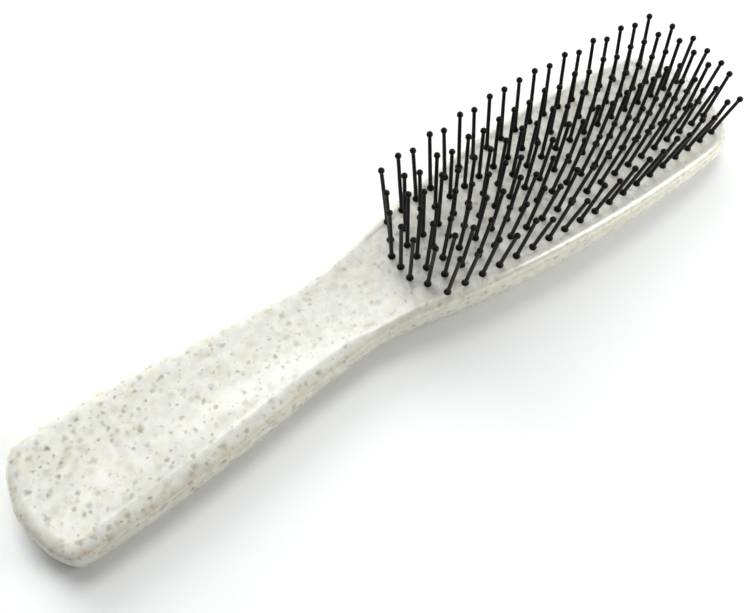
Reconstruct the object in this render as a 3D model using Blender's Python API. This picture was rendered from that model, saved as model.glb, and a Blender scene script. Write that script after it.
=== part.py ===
"""Hair grooming brush: a two-shell handle and head with seven strips of ball-tipped nylon pins.

The brush lies on its back with the pins up. +X runs from the butt to the head's tip, +Y across,
+Z up. The origin is at the middle of the body's length, on the surface that the back rests on.
"""
import math

import bmesh
import bpy
from mathutils import Matrix, Vector

# Body outline, seen from above
HANDLE_LENGTH = 0.0883
HEAD_LENGTH = 0.1237
HANDLE_WIDTH = 0.0336
NECK_WIDTH = 0.0238
HEAD_WIDTH = 0.0426
# Each outline point: share of the handle's or head's length from the neck, share of its half width
HANDLE_OUTLINE_SHARES = (
    (0.196, 0.760), (0.308, 0.822), (0.475, 0.911), (0.643, 0.970), (0.789, 1.000),
    (0.909, 0.985), (0.942, 0.900), (0.971, 0.660), (0.990, 0.330), (1.000, 0.000),
)
HEAD_OUTLINE_SHARES = (
    (0.053, 0.582), (0.117, 0.643), (0.198, 0.745), (0.295, 0.850), (0.416, 0.934),
    (0.550, 0.986), (0.667, 1.000), (0.804, 0.977), (0.893, 0.926), (0.939, 0.822),
    (0.968, 0.625), (0.989, 0.345), (1.000, 0.000),
)
OUTLINE_STEPS = 2

# Body heights above the resting surface
HEAD_HEIGHT = 0.0125
NECK_ARCH = 0.0024
TIP_LIFT = 0.0028
HANDLE_CROWN = 0.0005
CROWN_COLUMNS = 4
# Top line: share of the body's length from the butt, share of the head's height
TOP_LINE_SHARES = (
    (0.000, 0.800), (0.170, 0.840), (0.335, 0.832), (0.420, 0.885), (0.460, 0.950),
    (0.500, 1.004), (0.616, 1.042), (0.733, 1.000), (0.850, 0.882), (0.967, 0.690),
    (1.000, 0.625),
)
NECK_ARCH_CENTRE_SHARE = 0.410
NECK_ARCH_REACH_SHARE = 0.145
TIP_LIFT_START_SHARE = 0.600
CROWN_START_SHARE = 0.060
CROWN_END_SHARE = 0.450

# Shell walls and the joint between the shells
FACE_WALL = 0.0020
BACK_WALL = 0.0016
SEAM_DEPTH = 0.0026
SEAM_INSET = 0.00035
SEAM_GAP = 0.0003
LIP_WALL = 0.00050
TONGUE_WALL = 0.0005
TONGUE_LENGTH = 0.0011
FIT_GAP = 0.0003
# Rounded shoulder of the front shell: share of its width inward, share of its height down
HANDLE_SHOULDER_WIDTH = 0.0032
HEAD_SHOULDER_WIDTH = 0.0016
SHOULDER_SHARES = ((0.07, 0.66), (0.30, 0.32), (0.62, 0.09), (1.00, 0.00))
# Raised rim that the head's shoulder ends in, round the recessed face
RIM_RISE = 0.0004
RIM_SLOPE = 0.0009
RIM_START_SHARE = 0.470
RIM_FULL_SHARE = 0.535
SHOULDER_CHANGE_START_SHARE = 0.390
SHOULDER_CHANGE_END_SHARE = 0.430
# Section of the back shell: share of its inset, share of its depth
HANDLE_INSET = 0.0042
HEAD_INSET = 0.0095
BACK_SECTION_SHARES = (
    (0.00, 0.20), (0.02, 0.48), (0.10, 0.68), (0.30, 0.87), (0.62, 0.97), (1.00, 1.00),
)
INSET_CHANGE_START_SHARE = 0.34
INSET_CHANGE_END_SHARE = 0.56

# Pin field
PIN_PITCH = 0.0050
ROW_COUNT = 7
FIELD_TO_SIDE = 0.0053
FIELD_TO_NECK = 0.0172
FIELD_TO_TIP = 0.0062
FIELD_START_SHARE = 0.742
FIELD_END_SHARE = 0.865
FIELD_BOW_POWER = 1.5
INNER_ROW_SHARE = 0.952

# One pin, measured from the face along its own axis
PIN_LENGTH = 0.01733
# Along the field from the neck to the tip: share of the place, share of the pin's length
PIN_LENGTH_SHARES = (
    (0.00, 1.200), (0.12, 1.110), (0.25, 1.030), (0.42, 0.985), (0.72, 0.970), (1.00, 1.005),
)
COLLAR_DIAMETER = 0.0020
COLLAR_HEIGHT = 0.0003
CONE_HEIGHT = 0.0010
SHAFT_FOOT_DIAMETER = 0.00105
SHAFT_TOP_DIAMETER = 0.00095
BALL_DIAMETER = 0.00165
PIN_SPLAY = math.radians(9.3)
PIN_LEAN = math.radians(2.3)
# Along the field from the neck to the tip: share of the place, share of the lean
PIN_LEAN_SHARES = ((0.00, -0.35), (0.25, 0.65), (0.65, 1.35), (0.86, 0.00), (1.00, 0.20))
PIN_SIDES = 4
HOLE_SIDES = 6

# Spine that carries one row of pins under the face
SPINE_WIDTH = 0.0021
SPINE_THICKNESS = 0.0015
SPINE_OVERHANG = 0.0011
SPINE_STEPS = 7
ROOT_SINK = 0.0006

# Ribs of the back shell that press the spines up
RIB_COUNT = 5
RIB_THICKNESS = 0.0014

# Posts of the front shell and their sockets in the handle
POST_DIAMETER = 0.0032
SOCKET_DIAMETER = 0.0070
SOCKET_HEIGHT = 0.0040
POST_PLACE_SHARES = (0.20, 0.50, 0.76)
ROUND_SIDES = 16
CUT_OVERRUN = 0.0010

# Colours, from the photograph
SHELL_COLOUR = (0.80, 0.78, 0.70, 1.0)
SHELL_ROUGHNESS = 0.32
PIN_COLOUR = (0.012, 0.012, 0.011, 1.0)
PIN_ROUGHNESS = 0.38

BODY_LENGTH = HANDLE_LENGTH + HEAD_LENGTH
BUTT_X = -BODY_LENGTH / 2
TIP_X = BODY_LENGTH / 2
NECK_X = BUTT_X + HANDLE_LENGTH
FIELD_WIDTH = HEAD_WIDTH - 2 * FIELD_TO_SIDE
LONGEST_ROW_PINS = int((HEAD_LENGTH - FIELD_TO_NECK - FIELD_TO_TIP) / PIN_PITCH) + 1
FIELD_HALF_LENGTH = PIN_PITCH * (LONGEST_ROW_PINS - 1) / 2
FIELD_X = TIP_X - FIELD_TO_TIP - FIELD_HALF_LENGTH


def catmull_rom(before, start, end, after, share):
    """Point at a share of the way from start to end on a Catmull-Rom curve."""
    return 0.5 * (
        2 * start
        + (end - before) * share
        + (2 * before - 5 * start + 4 * end - after) * share ** 2
        + (3 * start - before - 3 * end + after) * share ** 3
    )


def read_line(shares, place):
    """Smooth value at a place on a line given as (place share, value share) pairs."""
    index = 0
    while index < len(shares) - 2 and place > shares[index + 1][0]:
        index += 1
    start, end = shares[index], shares[index + 1]
    before = shares[max(index - 1, 0)]
    after = shares[min(index + 2, len(shares) - 1)]
    span = end[0] - start[0]
    start_slope = (end[1] - before[1]) / (end[0] - before[0])
    end_slope = (after[1] - start[1]) / (after[0] - start[0])
    t = min(max((place - start[0]) / span, 0.0), 1.0)
    return (
        (2 * t ** 3 - 3 * t ** 2 + 1) * start[1]
        + (t ** 3 - 2 * t ** 2 + t) * span * start_slope
        + (3 * t ** 2 - 2 * t ** 3) * end[1]
        + (t ** 3 - t ** 2) * span * end_slope
    )


def smooth_step(start, end, value):
    """0 before start, 1 after end, and a smooth change between them."""
    t = min(max((value - start) / (end - start), 0.0), 1.0)
    return t * t * (3 - 2 * t)


def body_share(x):
    """Share of the body's length at x, from the butt."""
    return min(max((x - BUTT_X) / BODY_LENGTH, 0.0), 1.0)


def top_height(x):
    """Height of the top surface along the middle line."""
    return HEAD_HEIGHT * read_line(TOP_LINE_SHARES, body_share(x))


def seam_height(x):
    """Height of the parting line between the shells."""
    return top_height(x) - SEAM_DEPTH


def bottom_height(x):
    """Height of the back: flat on its two rests, arched under the neck, lifted at the tip."""
    share = body_share(x)
    reach = (share - NECK_ARCH_CENTRE_SHARE) / NECK_ARCH_REACH_SHARE
    if abs(reach) < 1:
        return NECK_ARCH * (1 + math.cos(math.pi * reach)) / 2
    if share > TIP_LIFT_START_SHARE:
        return TIP_LIFT * ((share - TIP_LIFT_START_SHARE) / (1 - TIP_LIFT_START_SHARE)) ** 2
    return 0.0


def crown_height(x):
    """Rise of the top surface's middle over its edges: full on the handle, none on the head."""
    grow = smooth_step(0.0, CROWN_START_SHARE, body_share(x))
    fade = smooth_step(CROWN_END_SHARE / 2, CROWN_END_SHARE, body_share(x))
    return HANDLE_CROWN * grow * (1 - fade)


def rim_height(x):
    """Height of the rim round the top: flush on the handle, raised round the head's face."""
    return top_height(x) + RIM_RISE * smooth_step(RIM_START_SHARE, RIM_FULL_SHARE, body_share(x))


def shoulder_width(x):
    """Width of the rounded shoulder, narrower round the head."""
    change = smooth_step(SHOULDER_CHANGE_START_SHARE, SHOULDER_CHANGE_END_SHARE, body_share(x))
    return HANDLE_SHOULDER_WIDTH + (HEAD_SHOULDER_WIDTH - HANDLE_SHOULDER_WIDTH) * change


def back_inset(x):
    """How far the back's flat lies inside the outline."""
    change = smooth_step(INSET_CHANGE_START_SHARE, INSET_CHANGE_END_SHARE, body_share(x))
    return HANDLE_INSET + (HEAD_INSET - HANDLE_INSET) * change


def half_outline():
    """Points of the outline's +Y half, from the head's tip to the butt."""
    corners = [Vector((NECK_X + along * HEAD_LENGTH, across * HEAD_WIDTH / 2))
               for along, across in reversed(HEAD_OUTLINE_SHARES)]
    corners.append(Vector((NECK_X, NECK_WIDTH / 2)))
    corners += [Vector((NECK_X - along * HANDLE_LENGTH, across * HANDLE_WIDTH / 2))
                for along, across in HANDLE_OUTLINE_SHARES]
    mirrored_start = Vector((corners[1].x, -corners[1].y))
    mirrored_end = Vector((corners[-2].x, -corners[-2].y))
    corners = [mirrored_start] + corners + [mirrored_end]
    points = []
    for index in range(1, len(corners) - 2):
        for step in range(OUTLINE_STEPS):
            points.append(catmull_rom(*corners[index - 1:index + 3], step / OUTLINE_STEPS))
    points.append(corners[-2])
    points[0].y = 0.0
    points[-1].y = 0.0
    return points


def full_outline():
    """The whole closed outline from the tip, with the direction out of the middle line at each point."""
    upper = half_outline()
    points = upper + [Vector((point.x, -point.y)) for point in reversed(upper[1:-1])]
    outwards = []
    for point in points:
        middle = min(max(point.x, BUTT_X + HANDLE_WIDTH / 2), TIP_X - HEAD_WIDTH / 2)
        outwards.append((point - Vector((middle, 0.0))).normalized())
    return points, outwards


OUTLINE, OUTWARDS = full_outline()


def half_width(x):
    """Half width of the body at x, read from the outline's +Y half."""
    half = OUTLINE[:len(OUTLINE) // 2 + 1]
    for near, far in zip(half, half[1:]):
        if far.x <= x <= near.x:
            share = (near.x - x) / (near.x - far.x)
            return near.y + (far.y - near.y) * share
    return 0.0


def add_loop(bm, inset, height):
    """Adds one closed loop round the body, inset and high as the functions of x say."""
    loop = []
    for point, outward in zip(OUTLINE, OUTWARDS):
        inner = point - outward * inset(point.x)
        loop.append(bm.verts.new((inner.x, inner.y, height(inner.x))))
    return loop


def skin_loops(bm, loops):
    """Joins each loop to the next one with a band of faces."""
    for lower, upper in zip(loops, loops[1:]):
        for index in range(len(lower)):
            following = (index + 1) % len(lower)
            bm.faces.new((lower[index], lower[following], upper[following], upper[index]))


def fill_across(bm, loop, crown, columns):
    """Fills a loop with faces that run straight across the body, with a rounded crown."""
    count = len(loop)
    half = count // 2
    rows = []
    for index in range(half + 1):
        left, right = loop[index], loop[(count - index) % count]
        row = [left]
        for column in range(1, columns):
            share = column / columns
            place = left.co.lerp(right.co, share)
            place.z += crown(place.x) * 4 * share * (1 - share)
            row.append(left if left is right else bm.verts.new(place))
        rows.append(row + [right])
    for here, there in zip(rows, rows[1:]):
        for column in range(columns):
            corners = [here[column], there[column], there[column + 1], here[column + 1]]
            bm.faces.new(list(dict.fromkeys(corners)))


def finish_mesh(bm, name, collection, material):
    """Turns a bmesh into a named object with its faces pointing out."""
    bmesh.ops.recalc_face_normals(bm, faces=bm.faces)
    mesh = bpy.data.meshes.new(name)
    bm.to_mesh(mesh)
    bm.free()
    result = bpy.data.objects.new(name, mesh)
    collection.objects.link(result)
    if material:
        mesh.materials.append(material)
    return result


def add_boolean(target, cutter, operation):
    """Adds an exact Boolean with a guide object to a part."""
    modifier = target.modifiers.new(cutter.name, 'BOOLEAN')
    modifier.operation = operation
    modifier.object = cutter
    modifier.solver = 'EXACT'


def make_guide(guide):
    """Keeps a cutter or a joined form out of the render."""
    guide.hide_render = True
    guide.display_type = 'WIRE'
    return guide


def make_material(name, colour, roughness):
    """A plain Principled material."""
    material = bpy.data.materials.new(name)
    material.use_nodes = True
    shader = material.node_tree.nodes['Principled BSDF']
    shader.inputs['Base Color'].default_value = colour
    shader.inputs['Roughness'].default_value = roughness
    shader.inputs['Metallic'].default_value = 0.0
    material.diffuse_color = colour
    return material


def field_half_width(x):
    """Half the distance between the outer rows at x, widest in the middle of the field."""
    place = (x - FIELD_X) / FIELD_HALF_LENGTH
    end_share = FIELD_START_SHARE if place < 0 else FIELD_END_SHARE
    return FIELD_WIDTH / 2 * (1 - (1 - end_share) * abs(place) ** FIELD_BOW_POWER)


def row_y(row, x):
    """Where a row runs at x. Rows are counted from the middle one, negative towards -Y."""
    outer = (ROW_COUNT - 1) // 2
    share = row / outer
    if abs(row) < outer:
        share *= INNER_ROW_SHARE
    return share * field_half_width(x)


def row_pin_count(row):
    """The three middle rows are the longest, and each row outside them has a pin less."""
    return LONGEST_ROW_PINS - max(abs(row) - 1, 0)


def row_places(row):
    """X of each pin of a row."""
    count = row_pin_count(row)
    return [FIELD_X + PIN_PITCH * (index - (count - 1) / 2) for index in range(count)]


def field_share(x):
    """Share of the pin field's length at x, from the neck's end."""
    return (x - FIELD_X + FIELD_HALF_LENGTH) / (2 * FIELD_HALF_LENGTH)


def pin_length(x):
    """Length of the pins at x, longest next to the neck."""
    return PIN_LENGTH * read_line(PIN_LENGTH_SHARES, field_share(x))


def pin_frame(row, x):
    """Turns a pin's own Z axis to its splayed direction, with its origin on the face."""
    y = row_y(row, x)
    splay = PIN_SPLAY * y / (FIELD_WIDTH / 2)
    lean = PIN_LEAN * read_line(PIN_LEAN_SHARES, field_share(x))
    direction = Vector((math.tan(lean), math.tan(splay), 1.0)).normalized()
    turn = Vector((0.0, 0.0, 1.0)).rotation_difference(direction).to_matrix().to_4x4()
    return Matrix.Translation((x, y, top_height(x))) @ turn


def add_pin(bm, frame, length):
    """One pin as a turned profile of a few sides: root, collar, cone, shaft and ball tip."""
    ball = BALL_DIAMETER / 2
    root = FACE_WALL + FIT_GAP + ROOT_SINK
    profile = (
        (COLLAR_DIAMETER / 2, -root),
        (COLLAR_DIAMETER / 2, COLLAR_HEIGHT),
        (SHAFT_FOOT_DIAMETER / 2, COLLAR_HEIGHT + CONE_HEIGHT),
        (SHAFT_TOP_DIAMETER / 2, length - ball * math.sin(math.pi / 3)),
        (ball, length),
        (ball * math.cos(math.pi / 3), length + ball * math.sin(math.pi / 3)),
    )
    rings = []
    for radius, height in profile:
        ring = []
        for side in range(PIN_SIDES):
            angle = 2 * math.pi * (side + 1 / 2) / PIN_SIDES
            place = Vector((radius * math.cos(angle), radius * math.sin(angle), height))
            ring.append(bm.verts.new(frame @ place))
        rings.append(ring)
    skin_loops(bm, rings)
    bm.faces.new(rings[0])
    bm.faces.new(rings[-1])


def add_spine(bm, row):
    """The flat bar under the face that carries one row, following the row's curve."""
    places = row_places(row)
    start, end = places[0] - SPINE_OVERHANG, places[-1] + SPINE_OVERHANG
    rings = []
    for step in range(SPINE_STEPS + 1):
        x = start + (end - start) * step / SPINE_STEPS
        y = row_y(row, x)
        top = top_height(x) - FACE_WALL - FIT_GAP
        bottom = top - SPINE_THICKNESS
        corners = ((1, top), (-1, top), (-1, bottom), (1, bottom))
        rings.append([bm.verts.new((x, y + side * SPINE_WIDTH / 2, z)) for side, z in corners])
    skin_loops(bm, rings)
    bm.faces.new(rings[0])
    bm.faces.new(rings[-1])


def make_pin_strip(number, row, collection, guides, material):
    """One row of pins on its spine, as one moulding."""
    spine = bmesh.new()
    add_spine(spine, row)
    strip = finish_mesh(spine, 'pin_strip_%d' % number, collection, material)
    pins = bmesh.new()
    for x in row_places(row):
        add_pin(pins, pin_frame(row, x), pin_length(x))
    guide = make_guide(finish_mesh(pins, 'pins_of_strip_%d' % number, guides, None))
    add_boolean(strip, guide, 'UNION')
    return strip


def make_hole_cutter(number, row, guides):
    """A short prism along each pin of a row, with a flat side towards the neighbouring rows."""
    bm = bmesh.new()
    radius = (COLLAR_DIAMETER / 2 + FIT_GAP) / math.cos(math.pi / HOLE_SIDES)
    depth = FACE_WALL + 2 * CUT_OVERRUN
    middle = Matrix.Translation((0.0, 0.0, -FACE_WALL / 2))
    half_side = Matrix.Rotation(math.pi / HOLE_SIDES, 4, 'Z')
    for x in row_places(row):
        bmesh.ops.create_cone(
            bm, cap_ends=True, segments=HOLE_SIDES, radius1=radius, radius2=radius,
            depth=depth, matrix=pin_frame(row, x) @ middle @ half_side)
    return make_guide(finish_mesh(bm, 'holes_of_strip_%d' % number, guides, None))


def all_rows():
    """Row numbers from -Y to +Y, with 0 in the middle."""
    outer = (ROW_COUNT - 1) // 2
    return range(-outer, outer + 1)


def post_places():
    """X of the posts along the handle."""
    return [BUTT_X + share * HANDLE_LENGTH for share in POST_PLACE_SHARES]


def make_posts(name, diameter, bottom, top, guides):
    """A cylinder at each post's place, between heights that are functions of x."""
    bm = bmesh.new()
    for x in post_places():
        low, high = bottom(x), top(x)
        bmesh.ops.create_cone(
            bm, cap_ends=True, segments=ROUND_SIDES, radius1=diameter / 2,
            radius2=diameter / 2, depth=high - low,
            matrix=Matrix.Translation((x, 0.0, (low + high) / 2)))
    return make_guide(finish_mesh(bm, name, guides, None))


def make_front_shell(collection, guides, material):
    """The perforated face of the head and the top of the handle, in one cover."""
    tongue_outer = SEAM_INSET + LIP_WALL + FIT_GAP
    tongue_inner = tongue_outer + TONGUE_WALL
    bm = bmesh.new()
    shoulder = [add_loop(bm, lambda x: shoulder_width(x) + RIM_SLOPE, top_height)]
    for inward, down in reversed(SHOULDER_SHARES):
        shoulder.append(add_loop(
            bm, lambda x, share=inward: SEAM_INSET + (shoulder_width(x) - SEAM_INSET) * share,
            lambda x, share=down: rim_height(x) - (rim_height(x) - seam_height(x)) * share))
    edge = [
        add_loop(bm, lambda x: SEAM_INSET, lambda x: seam_height(x) + SEAM_GAP),
        add_loop(bm, lambda x: tongue_outer, lambda x: seam_height(x) + SEAM_GAP),
        add_loop(bm, lambda x: tongue_outer, lambda x: seam_height(x) - TONGUE_LENGTH),
        add_loop(bm, lambda x: tongue_inner, lambda x: seam_height(x) - TONGUE_LENGTH),
        add_loop(bm, lambda x: tongue_inner, lambda x: top_height(x) - FACE_WALL),
    ]
    skin_loops(bm, shoulder + edge)
    fill_across(bm, shoulder[0], crown_height, CROWN_COLUMNS)
    fill_across(bm, edge[-1], crown_height, 1)
    shell = finish_mesh(bm, 'front_shell', collection, material)
    posts = make_posts(
        'posts', POST_DIAMETER,
        lambda x: bottom_height(x) + BACK_WALL + FIT_GAP,
        lambda x: top_height(x) - FACE_WALL / 2, guides)
    add_boolean(shell, posts, 'UNION')
    for number, row in enumerate(all_rows(), start=1):
        add_boolean(shell, make_hole_cutter(number, row, guides), 'DIFFERENCE')
    return shell


def back_section(x, wall):
    """Inset and height pairs down the back's side, thickened inward by a wall."""
    depth = seam_height(x) - bottom_height(x) - wall
    return [(back_inset(x) * inward + wall, seam_height(x) - depth * down)
            for inward, down in BACK_SECTION_SHARES]


def add_back_loops(bm, wall, first):
    """Loops down the back's side from the first section point on."""
    loops = []
    for index in range(first, len(BACK_SECTION_SHARES)):
        loops.append(add_loop(
            bm, lambda x, point=index: back_section(x, wall)[point][0],
            lambda x, point=index: back_section(x, wall)[point][1]))
    return loops


def rib_places():
    """X of the ribs, midway between pins, spread over the pin field."""
    reach = FIELD_HALF_LENGTH - PIN_PITCH / 2
    return [FIELD_X - reach + 2 * reach * index / (RIB_COUNT - 1) for index in range(RIB_COUNT)]


def make_ribs(guides):
    """Cross walls that follow the back's section and stop just under the spines."""
    bm = bmesh.new()
    for x in rib_places():
        top = top_height(x) - FACE_WALL - SPINE_THICKNESS - 2 * FIT_GAP
        side = [(half_width(x) - inset, height)
                for inset, height in back_section(x, BACK_WALL / 2) if height < top]
        outer = half_width(x) - back_section(x, BACK_WALL / 2)[0][0]
        side = [(outer, top)] + side
        ring = side + [(-y, z) for y, z in reversed(side)]
        start = [bm.verts.new((x - RIB_THICKNESS / 2, y, z)) for y, z in ring]
        end = [bm.verts.new((x + RIB_THICKNESS / 2, y, z)) for y, z in ring]
        skin_loops(bm, [start, end])
        bm.faces.new(start)
        bm.faces.new(end)
    return make_guide(finish_mesh(bm, 'ribs', guides, None))


def make_back_shell(collection, guides, material):
    """The deep tray of the back, rebated for the front shell's tongue."""
    lip_inner = SEAM_INSET + LIP_WALL
    ledge = lambda x: seam_height(x) - TONGUE_LENGTH - FIT_GAP
    bm = bmesh.new()
    outside = list(reversed(add_back_loops(bm, 0.0, 0)))
    rim = [
        add_loop(bm, lambda x: SEAM_INSET, seam_height),
        add_loop(bm, lambda x: lip_inner, seam_height),
        add_loop(bm, lambda x: lip_inner, ledge),
        add_loop(bm, lambda x: BACK_WALL + FIT_GAP, ledge),
    ]
    inside = add_back_loops(bm, BACK_WALL, 1)
    skin_loops(bm, outside + rim + inside)
    fill_across(bm, outside[0], crown_height, 1)
    fill_across(bm, inside[-1], crown_height, 1)
    shell = finish_mesh(bm, 'back_shell', collection, material)
    add_boolean(shell, make_ribs(guides), 'UNION')
    floor = lambda x: bottom_height(x) + BACK_WALL
    sockets = make_posts(
        'sockets', SOCKET_DIAMETER, lambda x: floor(x) - BACK_WALL / 2,
        lambda x: floor(x) + SOCKET_HEIGHT, guides)
    add_boolean(shell, sockets, 'UNION')
    bores = make_posts(
        'socket_bores', POST_DIAMETER + 2 * FIT_GAP, floor,
        lambda x: floor(x) + SOCKET_HEIGHT + CUT_OVERRUN, guides)
    add_boolean(shell, bores, 'DIFFERENCE')
    return shell


def build():
    """Clears the scene and makes every piece of the brush."""
    for item in list(bpy.data.objects):
        bpy.data.objects.remove(item, do_unlink=True)
    scene = bpy.context.scene
    collection = bpy.data.collections.new('hair_grooming_brush')
    guides = bpy.data.collections.new('guides')
    scene.collection.children.link(collection)
    scene.collection.children.link(guides)
    shell_plastic = make_material('speckled_plastic', SHELL_COLOUR, SHELL_ROUGHNESS)
    back_plastic = make_material('speckled_plastic_back', SHELL_COLOUR, SHELL_ROUGHNESS)
    make_front_shell(collection, guides, shell_plastic)
    make_back_shell(collection, guides, back_plastic)
    for number, row in enumerate(all_rows(), start=1):
        nylon = make_material('pin_nylon_%d' % number, PIN_COLOUR, PIN_ROUGHNESS)
        make_pin_strip(number, row, collection, guides, nylon)


build()
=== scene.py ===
"""Hair grooming brush on a white table: speckled two-shell body and black ball-tipped pins."""
import math
from collections import namedtuple

import bmesh
import bpy
from mathutils import Matrix, Vector


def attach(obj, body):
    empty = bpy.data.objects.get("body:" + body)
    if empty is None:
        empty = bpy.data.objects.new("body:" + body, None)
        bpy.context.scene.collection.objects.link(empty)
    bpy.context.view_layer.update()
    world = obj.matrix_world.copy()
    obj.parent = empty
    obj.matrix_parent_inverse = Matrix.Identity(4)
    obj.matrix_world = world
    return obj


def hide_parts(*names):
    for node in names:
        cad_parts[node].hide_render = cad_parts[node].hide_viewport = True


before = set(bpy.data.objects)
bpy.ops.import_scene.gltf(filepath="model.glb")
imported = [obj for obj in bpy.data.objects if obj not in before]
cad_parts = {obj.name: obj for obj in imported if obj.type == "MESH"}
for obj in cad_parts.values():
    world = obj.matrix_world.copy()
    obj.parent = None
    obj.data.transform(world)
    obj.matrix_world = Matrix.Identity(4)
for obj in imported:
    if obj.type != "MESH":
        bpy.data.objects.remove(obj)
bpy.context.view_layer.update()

# Body, as in the part's source, with lengths in metres
HANDLE_LENGTH = 0.0883
HEAD_LENGTH = 0.1237
HANDLE_WIDTH = 0.0336
NECK_WIDTH = 0.0238
HEAD_WIDTH = 0.0426
HANDLE_OUTLINE_SHARES = (
    (0.196, 0.760), (0.308, 0.822), (0.475, 0.911), (0.643, 0.970), (0.789, 1.000),
    (0.909, 0.985), (0.942, 0.900), (0.971, 0.660), (0.990, 0.330), (1.000, 0.000),
)
HEAD_OUTLINE_SHARES = (
    (0.053, 0.582), (0.117, 0.643), (0.198, 0.745), (0.295, 0.850), (0.416, 0.934),
    (0.550, 0.986), (0.667, 1.000), (0.804, 0.977), (0.893, 0.926), (0.939, 0.822),
    (0.968, 0.625), (0.989, 0.345), (1.000, 0.000),
)
HEAD_HEIGHT = 0.0125
TOP_LINE_SHARES = (
    (0.000, 0.800), (0.170, 0.840), (0.335, 0.832), (0.420, 0.885), (0.460, 0.950),
    (0.500, 1.004), (0.616, 1.042), (0.733, 1.000), (0.850, 0.882), (0.967, 0.690),
    (1.000, 0.625),
)
NECK_ARCH = 0.0024
NECK_ARCH_CENTRE_SHARE = 0.410
NECK_ARCH_REACH_SHARE = 0.145
TIP_LIFT = 0.0028
TIP_LIFT_START_SHARE = 0.600
HANDLE_CROWN = 0.0005
CROWN_END_SHARE = 0.450
SEAM_DEPTH = 0.0026
SEAM_INSET = 0.00035
SHOULDER_CHANGE_START_SHARE = 0.390
SHOULDER_CHANGE_END_SHARE = 0.430
RIM_START_SHARE = 0.470
RIM_FULL_SHARE = 0.535
HANDLE_INSET = 0.0042
HEAD_INSET = 0.0095
INSET_CHANGE_START_SHARE = 0.34
INSET_CHANGE_END_SHARE = 0.56
BACK_SECTION_SHARES = (
    (0.00, 0.20), (0.02, 0.48), (0.10, 0.68), (0.30, 0.87), (0.62, 0.97), (1.00, 1.00),
)
FACE_WALL = 0.0020
FIT_GAP = 0.0003

# Body, where it differs from the part's source, mostly to match the photograph's highlights
CROWN_START_SHARE = 0.016
CROWN_GROWN_SHARE = 0.100
SEAM_GAP = 0.00012
SEAM_BEVEL = 0.00012
SEAM_REACH = 0.0008
HANDLE_SHOULDER_WIDTH = 0.0046
HEAD_SHOULDER_WIDTH = 0.0023
HANDLE_SHOULDER_POWER = 3.0
HEAD_SHOULDER_POWER = 2.0
SHOULDER_MOST_DEPTH_SHARE = 0.97
RIM_RISE = 0.00025
RIM_SLOPE = 0.0016
RIM_LEAST_SLOPE_SHARE = 0.02

# How finely the shells and spines are meshed
OUTLINE_STEPS = 8
RIM_STEP_SHARES = (1.0, 0.92, 0.72, 0.5, 0.28, 0.08)
SHOULDER_STEPS = 16
BACK_STEPS = 20
SURFACE_COLUMNS = 20
SPINE_STEPS = 14

# Pin field and spines, as in the part's source
PIN_PITCH = 0.0050
ROW_COUNT = 7
FIELD_TO_SIDE = 0.0053
FIELD_TO_NECK = 0.0172
FIELD_TO_TIP = 0.0062
FIELD_START_SHARE = 0.742
FIELD_END_SHARE = 0.865
FIELD_BOW_POWER = 1.5
INNER_ROW_SHARE = 0.952
PIN_LENGTH = 0.01733
PIN_LENGTH_SHARES = (
    (0.00, 1.200), (0.12, 1.110), (0.25, 1.030), (0.42, 0.985), (0.72, 0.970), (1.00, 1.005),
)
PIN_SPLAY = math.radians(9.3)
PIN_LEAN = math.radians(2.3)
PIN_LEAN_SHARES = ((0.00, -0.35), (0.25, 0.65), (0.65, 1.35), (0.86, 0.00), (1.00, 0.20))
SPINE_WIDTH = 0.0021
SPINE_THICKNESS = 0.0015
SPINE_OVERHANG = 0.0011

# One pin, in metres and degrees. Its steps pair a share of the radius with a height over the face
PIN_ROOT = 0.0012
COLLAR_RADIUS = 0.0010
COLLAR_STEPS = (
    (0.98, -PIN_ROOT), (1.00, 0.00010), (0.98, 0.00024), (0.90, 0.00038), (0.76, 0.00064),
)
SHAFT_FOOT_RADIUS = 0.00053
SHAFT_FOOT_STEPS = ((1.16, 0.00094), (1.04, 0.00125), (1.00, 0.00180))
SHAFT_TOP_RADIUS = 0.00047
# The shaft has more rings at these shares of the pin's length
SHAFT_STEP_SHARES = (0.35, 0.55, 0.75)
BALL_RADIUS = 0.00082
# The shaft ends this many ball radii below the ball's centre
BALL_NECK_RADII = 1.45
BALL_START_ANGLE = -58
BALL_END_ANGLE = 84
BALL_STEPS = 8
PIN_SIDES = 12

# How far a pin strays by use. The turns and seeds give each pin its own fixed strays
PIN_STRAY = math.radians(1.3)
PIN_BEND = 0.00035
STRAY_TURNS = (12.9898, 78.233, 37.719)
SPLAY_SEED, LEAN_SEED, BEND_X_SEED, BEND_Y_SEED = 1, 2, 3, 4

# Edges that bend by more than these angles are shaded sharp
SHARP_ANGLE = math.radians(35)
PIN_SHARP_ANGLE = math.radians(50)

# Plastic, with scales per metre. Each range runs from low to high
TOP_COLOURS = ((0.815, 0.820, 0.748, 1), (0.720, 0.728, 0.664, 1))
# Painted light: the walls take a warmer, yellower copy of the top's colours, as if lit by warmer light
WALL_WARM_LIGHT_COLOURS = ((0.830, 0.820, 0.690, 1), (0.750, 0.739, 0.602, 1))
# The walls' painted warm light comes in over this range of a normal's outward part, and out over its
# upward part
WALL_OUTWARD_RANGE = (0.0, 0.15)
WALL_UPWARD_RANGE = (0.75, 0.998)
MOTTLE_SCALE = 420.0
MOTTLE_DETAIL = 4.0
MOTTLE_RANGE = (0.35, 0.65)
PLASTIC_ROUGHNESS = 0.21
PLASTIC_IOR = 1.6
PLASTIC_SPECULAR = 1.0
DIMPLE_STRENGTH = 0.20
DIMPLE_DEPTH = 0.0002
DIMPLE_SCALE = 260.0
DIMPLE_DETAIL = 3.0

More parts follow.
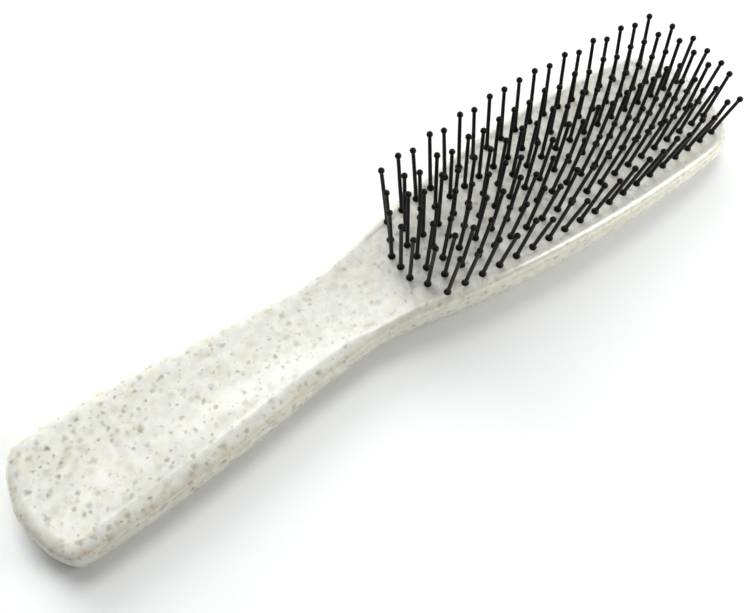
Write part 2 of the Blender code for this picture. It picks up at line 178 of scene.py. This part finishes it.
# Specks: kept is a share of the cells, radius one of a cell's size, and soft one of the radius
SpeckLayer = namedtuple("SpeckLayer", "seed scale kept radius soft strength first_tint second_tint")
SPECK_LAYERS = (
    SpeckLayer(1, 200.0, 0.90, 0.30, 0.85, 0.30, (0.60, 0.64, 0.42, 1), (0.80, 0.60, 0.46, 1)),
    SpeckLayer(2, 300.0, 0.95, 0.26, 0.90, 0.40, (0.48, 0.50, 0.36, 1), (0.64, 0.45, 0.31, 1)),
    SpeckLayer(3, 340.0, 0.80, 0.20, 0.90, 0.52, (0.28, 0.28, 0.20, 1), (0.46, 0.33, 0.20, 1)),
    SpeckLayer(4, 430.0, 0.80, 0.18, 0.90, 0.56, (0.14, 0.14, 0.10, 1), (0.38, 0.26, 0.16, 1)),
    SpeckLayer(5, 620.0, 0.80, 0.19, 0.90, 0.32, (0.15, 0.14, 0.10, 1), (0.40, 0.31, 0.20, 1)),
)
SPECK_SHIFT = (0.37, 0.61, 0.17)
SPECK_SIZE_SPREAD = 0.8
SPECK_LEAST_SIZE = 0.5
RAGGED_SCALE = 800.0
RAGGED_DETAIL = 2.0
RAGGED_REACH = 0.0013
HEAD_SPECK_STRENGTH = 0.80
# What the handle's specks have more, fading over this range of X
HANDLE_SPECK_GAIN = 0.40
SPECK_FADE_RANGE = (-0.060, 0.0)

# Nylon
NYLON_COLOURS = ((0.004, 0.004, 0.0035, 1), (0.010, 0.010, 0.009, 1))
NYLON_GRAIN_SCALE = 700.0
NYLON_GRAIN_DETAIL = 2.0
NYLON_LEAST_ROUGHNESS = 0.42
NYLON_MOST_ROUGHNESS = 0.56
NYLON_SPECULAR = 0.18

# Table: its first colour lights the brush, and its second one is seen and reflected
TABLE_COLOURS = ((0.72, 0.72, 0.72, 1), (0.957, 0.971, 0.968, 1))
TABLE_ROUGHNESS = 0.9
TABLE_SPECULAR = 0.1
TABLE_REACH = 1.5
TABLE_CLEARANCE = 0.00002

# Lamps, in metres and watts. A glint shows only in highlights, and the others never do
Lamp = namedtuple("Lamp", "name direction distance size power glint")
LAMPS = (
    Lamp("key", (0.30, 0.30, 0.90), 3.0, 1.50, 28.8, False),
    Lamp("soft_far", (0.05, 0.68, 0.73), 2.0, 2.20, 17.0, False),
    Lamp("low_far", (0.10, 0.90, 0.38), 2.0, 1.60, 32.0, False),
    Lamp("near_tip", (0.68, -0.58, 0.44), 0.4, 0.30, 1.0, False),
    Lamp("rim_glint", (0.60, -0.45, 0.66), 2.0, 1.45, 24.0, True),
    Lamp("grip_glint", (0.128, 0.275, 0.953), 2.0, 0.22, 0.70, True),
    Lamp("handle_glint", (0.020, 0.295, 0.955), 2.0, 0.18, 0.42, True),
    Lamp("butt_glint", (-0.180, 0.320, 0.930), 2.0, 0.40, 0.95, True),
)
WORLD_COLOUR = (0.985, 0.995, 1.0, 1)
WORLD_STRENGTH = 0.141

# Camera: its place in metres, the way it looks, and its lens and sensor in millimetres
CAMERA_PLACE = (-0.0704, -0.086365, 0.209951)
CAMERA_FORWARD = (0.264690, 0.366650, -0.891910)
CAMERA_LENS = 43.863
CAMERA_SENSOR = 36.0
CAMERA_CLIP_START = 0.01

# The colour sockets of a Mix node, which share their names with its other sockets
MIX_BELOW = 6
MIX_ABOVE = 7
MIX_RESULT = 2

BODY_LENGTH = HANDLE_LENGTH + HEAD_LENGTH
BUTT_X = -BODY_LENGTH / 2
TIP_X = BODY_LENGTH / 2
NECK_X = BUTT_X + HANDLE_LENGTH
FIELD_WIDTH = HEAD_WIDTH - 2 * FIELD_TO_SIDE
LONGEST_ROW_PINS = int((HEAD_LENGTH - FIELD_TO_NECK - FIELD_TO_TIP) / PIN_PITCH) + 1
FIELD_HALF_LENGTH = PIN_PITCH * (LONGEST_ROW_PINS - 1) / 2
FIELD_X = TIP_X - FIELD_TO_TIP - FIELD_HALF_LENGTH
OUTER_ROW = (ROW_COUNT - 1) // 2


# The body's surface as functions of the place along it
def lerp(start, end, share):
    """Value at a share of the way from start to end."""
    return start + (end - start) * share


def read_line(shares, place):
    """Smooth value at a place on a line given as (place share, value share) pairs."""
    index = 0
    while index < len(shares) - 2 and place > shares[index + 1][0]:
        index += 1
    start, end = shares[index], shares[index + 1]
    before = shares[max(index - 1, 0)]
    after = shares[min(index + 2, len(shares) - 1)]
    span = end[0] - start[0]
    start_slope = (end[1] - before[1]) / (end[0] - before[0])
    end_slope = (after[1] - start[1]) / (after[0] - start[0])
    t = min(max((place - start[0]) / span, 0.0), 1.0)
    return (
        (2 * t ** 3 - 3 * t ** 2 + 1) * start[1]
        + (t ** 3 - 2 * t ** 2 + t) * span * start_slope
        + (3 * t ** 2 - 2 * t ** 3) * end[1]
        + (t ** 3 - t ** 2) * span * end_slope
    )


def smooth_step(start, end, value):
    """0 before start, 1 after end, and a smooth change between them."""
    t = min(max((value - start) / (end - start), 0.0), 1.0)
    return t * t * (3 - 2 * t)


def body_share(x):
    """Share of the body's length at x, from the butt."""
    return min(max((x - BUTT_X) / BODY_LENGTH, 0.0), 1.0)


def top_height(x):
    """Height of the top surface at its edges, over which the crown rises."""
    return HEAD_HEIGHT * read_line(TOP_LINE_SHARES, body_share(x))


def seam_height(x):
    """Height of the parting line between the shells."""
    return top_height(x) - SEAM_DEPTH


def bottom_height(x):
    """Height of the back: flat on its two rests, arched under the neck, lifted at the tip."""
    share = body_share(x)
    reach = (share - NECK_ARCH_CENTRE_SHARE) / NECK_ARCH_REACH_SHARE
    if abs(reach) < 1:
        return NECK_ARCH * (1 + math.cos(math.pi * reach)) / 2
    if share > TIP_LIFT_START_SHARE:
        return TIP_LIFT * ((share - TIP_LIFT_START_SHARE) / (1 - TIP_LIFT_START_SHARE)) ** 2
    return 0.0


def crown_height(x):
    """Rise of the top surface's middle over its edges: full on the handle, none on the head."""
    grow = smooth_step(CROWN_START_SHARE, CROWN_GROWN_SHARE, body_share(x))
    fade = smooth_step(CROWN_END_SHARE / 2, CROWN_END_SHARE, body_share(x))
    return HANDLE_CROWN * grow * (1 - fade)


def no_crown(x):
    """Rise of a flat fill's middle over its edges."""
    return 0.0


def rim_share(x):
    """How far the head's raised rim has come out at x: 0 on the handle, 1 on the head."""
    return smooth_step(RIM_START_SHARE, RIM_FULL_SHARE, body_share(x))


def rim_height(x):
    """Height of the rim round the top: flush on the handle, raised round the head's face."""
    return top_height(x) + RIM_RISE * rim_share(x)


def rim_slope(x):
    """Width of the slope inside the rim, which all but vanishes on the handle."""
    return RIM_SLOPE * max(rim_share(x), RIM_LEAST_SLOPE_SHARE)


def shoulder_change(x):
    """How far the shoulder has changed at x: 0 is the handle's, 1 is the head's."""
    return smooth_step(SHOULDER_CHANGE_START_SHARE, SHOULDER_CHANGE_END_SHARE, body_share(x))


def shoulder_width(x):
    """Width of the rounded shoulder, narrower round the head."""
    return lerp(HANDLE_SHOULDER_WIDTH, HEAD_SHOULDER_WIDTH, shoulder_change(x))


def shoulder_power(x):
    """Power of the shoulder's curve, which starts more gently on the handle."""
    return lerp(HANDLE_SHOULDER_POWER, HEAD_SHOULDER_POWER, shoulder_change(x))


def shoulder_depth(x):
    """Depth of the shoulder: its width, or less where a short straight wall has to stay below it."""
    whole = rim_height(x) - seam_height(x) - SEAM_GAP - SEAM_BEVEL
    return min(shoulder_width(x), SHOULDER_MOST_DEPTH_SHARE * whole)


def shoulder_drop(out, power):
    """Share of the shoulder's depth at a share of the way out: it bends little by little."""
    return 1 - math.sqrt(max(1 - out ** power, 0.0))


def shoulder_point(x, share):
    """Shares of the shoulder's width and depth, tangent to the crowned top where it starts."""
    crown_slope = 2 * crown_height(x) / (HANDLE_WIDTH / 2 - HANDLE_SHOULDER_WIDTH)
    steepness = crown_slope * shoulder_width(x) / shoulder_depth(x)
    power = shoulder_power(x)
    start = (2 * steepness / power) ** (1 / (power - 1))
    out = lerp(start, 1.0, math.sin(math.pi / 2 * share))
    skipped = shoulder_drop(start, power)
    return (1 - out) / (1 - start), (shoulder_drop(out, power) - skipped) / (1 - skipped)


def back_inset(x):
    """How far the back's flat lies inside the outline."""
    change = smooth_step(INSET_CHANGE_START_SHARE, INSET_CHANGE_END_SHARE, body_share(x))
    return lerp(HANDLE_INSET, HEAD_INSET, change)


def back_point(share):
    """Smooth reading of the back's section: 0 at the seam, 1 at the start of its flat."""
    last = len(BACK_SECTION_SHARES) - 1
    inward = [(index / last, point[0]) for index, point in enumerate(BACK_SECTION_SHARES)]
    down = [(index / last, point[1]) for index, point in enumerate(BACK_SECTION_SHARES)]
    return read_line(inward, share), read_line(down, share)


# The body's outline from above
def catmull_rom(before, start, end, after, share):
    """Point at a share of the way from start to end on a Catmull-Rom curve."""
    return 0.5 * (
        2 * start
        + (end - before) * share
        + (2 * before - 5 * start + 4 * end - after) * share ** 2
        + (3 * start - before - 3 * end + after) * share ** 3
    )


def half_outline():
    """Points of the outline's +Y half, from the head's tip to the butt."""
    corners = [Vector((NECK_X + along * HEAD_LENGTH, across * HEAD_WIDTH / 2))
               for along, across in reversed(HEAD_OUTLINE_SHARES)]
    corners.append(Vector((NECK_X, NECK_WIDTH / 2)))
    corners += [Vector((NECK_X - along * HANDLE_LENGTH, across * HANDLE_WIDTH / 2))
                for along, across in HANDLE_OUTLINE_SHARES]
    mirrored_start = Vector((corners[1].x, -corners[1].y))
    mirrored_end = Vector((corners[-2].x, -corners[-2].y))
    corners = [mirrored_start] + corners + [mirrored_end]
    points = []
    for index in range(1, len(corners) - 2):
        for step in range(OUTLINE_STEPS):
            points.append(catmull_rom(*corners[index - 1:index + 3], step / OUTLINE_STEPS))
    points.append(corners[-2])
    points[0].y = 0.0
    points[-1].y = 0.0
    return points


def full_outline():
    """The whole closed outline, with the direction out of the middle line at each point."""
    upper = half_outline()
    points = upper + [Vector((point.x, -point.y)) for point in reversed(upper[1:-1])]
    outwards = []
    for point in points:
        middle = min(max(point.x, BUTT_X + HANDLE_WIDTH / 2), TIP_X - HEAD_WIDTH / 2)
        outwards.append((point - Vector((middle, 0.0))).normalized())
    return points, outwards


OUTLINE, OUTWARDS = full_outline()


# Mesh helpers
def add_loop(bm, inset, height):
    """Adds one closed loop round the body, inset and high as the functions of x say."""
    loop = []
    for point, outward in zip(OUTLINE, OUTWARDS):
        inner = point - outward * inset(point.x)
        loop.append(bm.verts.new((inner.x, inner.y, height(inner.x))))
    return loop


def skin_loops(bm, loops):
    """Joins each loop to the next one with a band of faces."""
    for lower, upper in zip(loops, loops[1:]):
        for index in range(len(lower)):
            following = (index + 1) % len(lower)
            bm.faces.new((lower[index], lower[following], upper[following], upper[index]))


def skin_closed(bm, rings):
    """Joins rings to a tube and closes both of its ends."""
    skin_loops(bm, rings)
    bm.faces.new(rings[0])
    bm.faces.new(rings[-1])


def fill_across(bm, loop, crown, columns):
    """Fills a loop with faces that run straight across the body, with a rounded crown."""
    count = len(loop)
    rows = []
    for index in range(count // 2 + 1):
        left, right = loop[index], loop[(count - index) % count]
        row = [left]
        for column in range(1, columns):
            share = column / columns
            place = left.co.lerp(right.co, share)
            place.z += crown(place.x) * 4 * share * (1 - share)
            row.append(left if left is right else bm.verts.new(place))
        rows.append(row + [right])
    for here, there in zip(rows, rows[1:]):
        for column in range(columns):
            corners = [here[column], there[column], there[column + 1], here[column + 1]]
            bm.faces.new(list(dict.fromkeys(corners)))


def link_object(name, data):
    """A new object of the scene that holds a mesh, a lamp or a camera."""
    result = bpy.data.objects.new(name, data)
    bpy.context.scene.collection.objects.link(result)
    return result


def make_object(bm, name, material, sharp_angle):
    """Turns a bmesh into a smooth-shaded object whose edges past an angle stay sharp."""
    bmesh.ops.recalc_face_normals(bm, faces=bm.faces)
    mesh = bpy.data.meshes.new(name)
    bm.to_mesh(mesh)
    bm.free()
    mesh.materials.append(material)
    mesh.shade_smooth()
    mesh.set_sharp_from_angle(angle=sharp_angle)
    return link_object(name, mesh)


# Material helpers
def new_material(name):
    """A node material with its tree's parts at hand."""
    material = bpy.data.materials.new(name)
    material.use_nodes = True
    nodes, links = material.node_tree.nodes, material.node_tree.links
    return material, nodes, links, nodes["Principled BSDF"]


def mix_colour(nodes, links, factor, below, above):
    """Mixes two colours, each a value or a socket, by a factor socket."""
    mix = nodes.new("ShaderNodeMix")
    mix.data_type = "RGBA"
    links.new(factor, mix.inputs["Factor"])
    for value, socket in ((below, mix.inputs[MIX_BELOW]), (above, mix.inputs[MIX_ABOVE])):
        if isinstance(value, tuple):
            socket.default_value = value
        else:
            links.new(value, socket)
    return mix.outputs[MIX_RESULT]


def math_node(nodes, links, operation, *values):
    """A Math node whose inputs are numbers or sockets."""
    node = nodes.new("ShaderNodeMath")
    node.operation = operation
    for index, value in enumerate(values):
        if isinstance(value, (int, float)):
            node.inputs[index].default_value = value
        else:
            links.new(value, node.inputs[index])
    return node.outputs[0]


def separate(nodes, links, vector):
    """The X, Y and Z sockets of a vector socket."""
    node = nodes.new("ShaderNodeSeparateXYZ")
    links.new(vector, node.inputs[0])
    return node.outputs


def fall(nodes, links, value, low, high):
    """1 below low, 0 above high, and a smooth change between them."""
    node = nodes.new("ShaderNodeMapRange")
    node.interpolation_type = "SMOOTHSTEP"
    links.new(value, node.inputs["Value"])
    node.inputs["From Min"].default_value = low
    node.inputs["From Max"].default_value = high
    node.inputs["To Min"].default_value = 1.0
    node.inputs["To Max"].default_value = 0.0
    return node.outputs["Result"]


def noise(nodes, links, place, scale, detail):
    """A noise texture at a place socket."""
    node = nodes.new("ShaderNodeTexNoise")
    node.inputs["Scale"].default_value = scale
    node.inputs["Detail"].default_value = detail
    links.new(place, node.inputs["Vector"])
    return node.outputs


# Plastic
def painted_wall_light_share(nodes, links, where):
    """1 on the body's steep walls, where warm light is painted in, and 0 on its top and on the slope
    inside the rim.
    """
    facing = separate(nodes, links, nodes.new("ShaderNodeNewGeometry").outputs["Normal"])
    side_x = math_node(nodes, links, "SIGN", where["X"])
    side_y = math_node(nodes, links, "SIGN", where["Y"])
    along = math_node(nodes, links, "MULTIPLY", facing["X"], side_x)
    outward = math_node(nodes, links, "MULTIPLY_ADD", facing["Y"], side_y, along)
    inward = fall(nodes, links, outward, *WALL_OUTWARD_RANGE)
    not_inward = math_node(nodes, links, "SUBTRACT", 1.0, inward)
    steep = fall(nodes, links, facing["Z"], *WALL_UPWARD_RANGE)
    return math_node(nodes, links, "MULTIPLY", steep, not_inward)


def ragged_place(nodes, links, place):
    """A place moved about by a noise, so that round spots get ragged edges."""
    moved = nodes.new("ShaderNodeVectorMath")
    moved.operation = "MULTIPLY_ADD"
    offset = noise(nodes, links, place, RAGGED_SCALE, RAGGED_DETAIL)["Color"]
    links.new(offset, moved.inputs[0])
    moved.inputs[1].default_value = (RAGGED_REACH, RAGGED_REACH, RAGGED_REACH)
    links.new(place, moved.inputs[2])
    return moved.outputs["Vector"]


def specks(nodes, links, place, layer):
    """Spots of many sizes in a share of the cells. Returns their mask and a tint number."""
    shift = nodes.new("ShaderNodeMapping")
    shift.inputs["Location"].default_value = [layer.seed * step for step in SPECK_SHIFT]
    links.new(place, shift.inputs["Vector"])
    cells = nodes.new("ShaderNodeTexVoronoi")
    cells.inputs["Scale"].default_value = layer.scale
    cells.inputs["Randomness"].default_value = 1.0
    links.new(shift.outputs["Vector"], cells.inputs["Vector"])
    parts = nodes.new("ShaderNodeSeparateColor")
    links.new(cells.outputs["Color"], parts.inputs["Color"])
    held = math_node(nodes, links, "LESS_THAN", parts.outputs["Red"], layer.kept)
    size = math_node(
        nodes, links, "MULTIPLY_ADD", parts.outputs["Green"],
        layer.radius * SPECK_SIZE_SPREAD, layer.radius * SPECK_LEAST_SIZE)
    share = math_node(nodes, links, "DIVIDE", cells.outputs["Distance"], size)
    spot = fall(nodes, links, share, 1.0 - layer.soft, 1.0 + layer.soft)
    return math_node(nodes, links, "MULTIPLY", spot, held), parts.outputs["Blue"]


def add_specks(nodes, links, place, where, colour):
    """Lays all layers of specks over a colour, bolder on the handle."""
    ragged = ragged_place(nodes, links, place)
    on_handle = fall(nodes, links, where["X"], *SPECK_FADE_RANGE)
    boldness = math_node(
        nodes, links, "MULTIPLY_ADD", on_handle, HANDLE_SPECK_GAIN, HEAD_SPECK_STRENGTH)
    for layer in SPECK_LAYERS:
        mask, tint = specks(nodes, links, ragged, layer)
        tone = mix_colour(nodes, links, tint, layer.first_tint, layer.second_tint)
        strength = math_node(nodes, links, "MULTIPLY", boldness, layer.strength)
        factor = math_node(nodes, links, "MULTIPLY", mask, strength)
        colour = mix_colour(nodes, links, factor, colour, tone)
    return colour


def speckled_plastic():
    """Off-white glossy plastic with mottling, specks and faint dimples, and painted warm light on its
    walls.
    """
    material, nodes, links, shader = new_material("speckled_plastic_visual")
    place = nodes.new("ShaderNodeTexCoord").outputs["Object"]
    where = separate(nodes, links, place)
    cloud = noise(nodes, links, place, MOTTLE_SCALE, MOTTLE_DETAIL)["Fac"]
    thin = fall(nodes, links, cloud, *MOTTLE_RANGE)
    top = mix_colour(nodes, links, thin, *TOP_COLOURS)
    wall = mix_colour(nodes, links, thin, *WALL_WARM_LIGHT_COLOURS)
    # Painted light: the steep walls take their warmer colours by which way they face
    colour = mix_colour(nodes, links, painted_wall_light_share(nodes, links, where), top, wall)
    colour = add_specks(nodes, links, place, where, colour)
    links.new(colour, shader.inputs["Base Color"])
    shader.inputs["Roughness"].default_value = PLASTIC_ROUGHNESS
    shader.inputs["IOR"].default_value = PLASTIC_IOR
    shader.inputs["Specular IOR Level"].default_value = PLASTIC_SPECULAR
    bump = nodes.new("ShaderNodeBump")
    bump.inputs["Strength"].default_value = DIMPLE_STRENGTH
    bump.inputs["Distance"].default_value = DIMPLE_DEPTH
    dimples = noise(nodes, links, place, DIMPLE_SCALE, DIMPLE_DETAIL)["Fac"]
    links.new(dimples, bump.inputs["Height"])
    links.new(bump.outputs["Normal"], shader.inputs["Normal"])
    return material


# Nylon and table
def black_nylon():
    """Black moulded nylon with a faint satin unevenness."""
    material, nodes, links, shader = new_material("black_nylon_visual")
    place = nodes.new("ShaderNodeTexCoord").outputs["Object"]
    grain = noise(nodes, links, place, NYLON_GRAIN_SCALE, NYLON_GRAIN_DETAIL)["Fac"]
    colour = mix_colour(nodes, links, grain, *NYLON_COLOURS)
    links.new(colour, shader.inputs["Base Color"])
    rough = nodes.new("ShaderNodeMapRange")
    rough.inputs["To Min"].default_value = NYLON_LEAST_ROUGHNESS
    rough.inputs["To Max"].default_value = NYLON_MOST_ROUGHNESS
    links.new(grain, rough.inputs["Value"])
    links.new(rough.outputs["Result"], shader.inputs["Roughness"])
    shader.inputs["Specular IOR Level"].default_value = NYLON_SPECULAR
    return material


def table_white():
    """White table, nearly pure white where it is seen or reflected, that keeps its shadows."""
    material, nodes, links, shader = new_material("table_white")
    ray = nodes.new("ShaderNodeLightPath").outputs
    seen = math_node(nodes, links, "MAXIMUM", ray["Is Camera Ray"], ray["Is Glossy Ray"])
    seen = math_node(nodes, links, "MAXIMUM", seen, ray["Is Transmission Ray"])
    colour = mix_colour(nodes, links, seen, *TABLE_COLOURS)
    links.new(colour, shader.inputs["Base Color"])
    shader.inputs["Roughness"].default_value = TABLE_ROUGHNESS
    shader.inputs["Specular IOR Level"].default_value = TABLE_SPECULAR
    return material


PLASTIC = speckled_plastic()
NYLON = black_nylon()
TABLE = table_white()


# The two shells
def make_front_shell():
    """The recessed face and its rim, the handle's top and the rounded shoulder to the seam."""
    bm = bmesh.new()
    loops = []
    for share in RIM_STEP_SHARES:
        rise = (1 - math.cos(math.pi * (1 - share))) / 2
        loops.append(add_loop(
            bm, lambda x, s=share: shoulder_width(x) + rim_slope(x) * s,
            lambda x, r=rise: lerp(top_height(x), rim_height(x), r)))
    for step in range(SHOULDER_STEPS + 1):
        share = step / SHOULDER_STEPS
        loops.append(add_loop(
            bm, lambda x, s=share: lerp(
                SEAM_INSET - SEAM_BEVEL, shoulder_width(x), shoulder_point(x, s)[0]),
            lambda x, s=share: rim_height(x) - shoulder_depth(x) * shoulder_point(x, s)[1]))
    loops.append(add_loop(
        bm, lambda x: SEAM_INSET - SEAM_BEVEL, lambda x: seam_height(x) + SEAM_GAP + SEAM_BEVEL))
    for inset in (SEAM_INSET, SEAM_INSET + SEAM_REACH):
        loops.append(add_loop(bm, lambda x, i=inset: i, lambda x: seam_height(x) + SEAM_GAP))
    skin_loops(bm, loops)
    fill_across(bm, loops[0], crown_height, SURFACE_COLUMNS)
    fill_across(bm, loops[-1], no_crown, columns=1)
    return make_object(bm, "front_shell_visual", PLASTIC, SHARP_ANGLE)


def make_back_shell():
    """The deep tray of the back with its flat underside."""
    bm = bmesh.new()
    loops = [
        add_loop(bm, lambda x: SEAM_INSET + SEAM_REACH, seam_height),
        add_loop(bm, lambda x: SEAM_INSET, seam_height),
        add_loop(bm, lambda x: SEAM_INSET - SEAM_BEVEL, lambda x: seam_height(x) - SEAM_BEVEL),
    ]
    for step in range(BACK_STEPS + 1):
        inward, down = back_point(step / BACK_STEPS)
        loops.append(add_loop(
            bm, lambda x, s=inward: back_inset(x) * s,
            lambda x, s=down: lerp(seam_height(x), bottom_height(x), s)))
    skin_loops(bm, loops)
    fill_across(bm, loops[0], no_crown, columns=1)
    fill_across(bm, loops[-1], no_crown, SURFACE_COLUMNS)
    return make_object(bm, "back_shell_visual", PLASTIC, SHARP_ANGLE)


# The pins
def row_y(row, x):
    """Where a row runs at x. Rows are counted from the middle one, negative towards -Y."""
    place = (x - FIELD_X) / FIELD_HALF_LENGTH
    end_share = FIELD_START_SHARE if place < 0 else FIELD_END_SHARE
    half = FIELD_WIDTH / 2 * (1 - (1 - end_share) * abs(place) ** FIELD_BOW_POWER)
    share = row / OUTER_ROW
    if abs(row) < OUTER_ROW:
        share *= INNER_ROW_SHARE
    return share * half


def row_places(row):
    """X of each pin of a row. From the second row out, each has one pin less than the row inside it."""
    count = LONGEST_ROW_PINS - max(abs(row) - 1, 0)
    return [FIELD_X + PIN_PITCH * (index - (count - 1) / 2) for index in range(count)]


def field_share(x):
    """Share of the pin field's length at x, from the neck's end."""
    return (x - FIELD_X + FIELD_HALF_LENGTH) / (2 * FIELD_HALF_LENGTH)


def stray(row, index, seed):
    """A fixed number from -1 to 1 for each pin and seed."""
    by_row, by_pin, by_seed = STRAY_TURNS
    return math.sin(by_row * (row + OUTER_ROW + 1) + by_pin * (index + 1) + by_seed * seed)


def pin_frame(row, index, x):
    """Turns a pin's own Z axis to its splayed direction, with its origin on the face."""
    y = row_y(row, x)
    splay = PIN_SPLAY * y / (FIELD_WIDTH / 2) + PIN_STRAY * stray(row, index, SPLAY_SEED)
    lean = PIN_LEAN * read_line(PIN_LEAN_SHARES, field_share(x))
    lean += PIN_STRAY * stray(row, index, LEAN_SEED)
    direction = Vector((math.tan(lean), math.tan(splay), 1.0)).normalized()
    turn = Vector((0.0, 0.0, 1.0)).rotation_difference(direction).to_matrix().to_4x4()
    return Matrix.Translation((x, y, top_height(x))) @ turn


def pin_profile(length):
    """Radius and height pairs of a pin: root, collar with its flare, shaft and ball."""
    profile = [(COLLAR_RADIUS * share, height) for share, height in COLLAR_STEPS]
    profile += [(SHAFT_FOOT_RADIUS * share, height) for share, height in SHAFT_FOOT_STEPS]
    for share in SHAFT_STEP_SHARES:
        profile.append((lerp(SHAFT_FOOT_RADIUS, SHAFT_TOP_RADIUS, share), length * share))
    profile.append((SHAFT_TOP_RADIUS, length - BALL_NECK_RADII * BALL_RADIUS))
    for step in range(BALL_STEPS + 1):
        angle = math.radians(lerp(BALL_START_ANGLE, BALL_END_ANGLE, step / BALL_STEPS))
        profile.append((BALL_RADIUS * math.cos(angle), length + BALL_RADIUS * math.sin(angle)))
    return profile


def add_pin(bm, row, index, x):
    """One turned pin that bends a little along its shaft."""
    turn = pin_frame(row, index, x)
    length = PIN_LENGTH * read_line(PIN_LENGTH_SHARES, field_share(x))
    bend = PIN_BEND * Vector((stray(row, index, BEND_X_SEED), stray(row, index, BEND_Y_SEED)))
    rings = []
    for radius, height in pin_profile(length):
        aside = bend * max(height / length, 0.0) ** 2
        ring = []
        for side in range(PIN_SIDES):
            angle = 2 * math.pi * side / PIN_SIDES
            ring.append(bm.verts.new(turn @ Vector((
                radius * math.cos(angle) + aside.x, radius * math.sin(angle) + aside.y, height))))
        rings.append(ring)
    skin_closed(bm, rings)


def add_spine(bm, row):
    """The flat bar under the face that carries one row."""
    places = row_places(row)
    start, end = places[0] - SPINE_OVERHANG, places[-1] + SPINE_OVERHANG
    rings = []
    for step in range(SPINE_STEPS + 1):
        x = lerp(start, end, step / SPINE_STEPS)
        top = top_height(x) - FACE_WALL - FIT_GAP
        bottom = top - SPINE_THICKNESS
        corners = ((1, top), (-1, top), (-1, bottom), (1, bottom))
        rings.append([bm.verts.new((x, row_y(row, x) + side * SPINE_WIDTH / 2, z))
                      for side, z in corners])
    skin_closed(bm, rings)


def make_pin_row(number, row):
    """One row of pins on its spine."""
    bm = bmesh.new()
    for index, x in enumerate(row_places(row)):
        add_pin(bm, row, index, x)
    add_spine(bm, row)
    return make_object(bm, "pins_visual_%d" % number, NYLON, PIN_SHARP_ANGLE)


def dress(piece, node):
    """Lets a piece stand for a node of the part."""
    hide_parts(node)
    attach(piece, "root")


dress(make_front_shell(), "front_shell")
dress(make_back_shell(), "back_shell")
for number, row in enumerate(range(-OUTER_ROW, OUTER_ROW + 1), start=1):
    dress(make_pin_row(number, row), "pin_strip_%d" % number)


# Table, light and camera
def make_table():
    """A wide white floor just under the brush."""
    bm = bmesh.new()
    bmesh.ops.create_grid(bm, x_segments=1, y_segments=1, size=TABLE_REACH)
    table = make_object(bm, "table", TABLE, SHARP_ANGLE)
    table.location.z = -TABLE_CLEARANCE


def make_lamp(lamp):
    """A round lamp that shines on the origin from its direction."""
    data = bpy.data.lights.new(lamp.name, "AREA")
    data.shape = "DISK"
    data.size = lamp.size
    data.energy = lamp.power
    item = link_object(lamp.name, data)
    aim = Vector(lamp.direction).normalized()
    item.location = aim * lamp.distance
    item.rotation_euler = aim.to_track_quat("Z", "Y").to_euler()
    item.visible_glossy = lamp.glint
    item.visible_diffuse = not lamp.glint


def make_world():
    """An even white surrounding light, which the camera sees at full strength."""
    world = bpy.data.worlds.new("studio")
    world.use_nodes = True
    nodes, links = world.node_tree.nodes, world.node_tree.links
    background = nodes["Background"]
    background.inputs["Color"].default_value = WORLD_COLOUR
    seen = nodes.new("ShaderNodeLightPath").outputs["Is Camera Ray"]
    strength = math_node(nodes, links, "MAXIMUM", seen, WORLD_STRENGTH)
    links.new(strength, background.inputs["Strength"])
    bpy.context.scene.world = world


def make_camera():
    """The photograph's camera."""
    data = bpy.data.cameras.new("camera")
    data.sensor_width = CAMERA_SENSOR
    data.sensor_fit = "HORIZONTAL"
    data.lens = CAMERA_LENS
    data.clip_start = CAMERA_CLIP_START
    camera = link_object("camera", data)
    camera.location = CAMERA_PLACE
    camera.rotation_euler = Vector(CAMERA_FORWARD).to_track_quat("-Z", "Y").to_euler()
    bpy.context.scene.camera = camera


make_table()
for lamp in LAMPS:
    make_lamp(lamp)
make_world()
make_camera()
bpy.context.scene.view_settings.view_transform = "Standard"
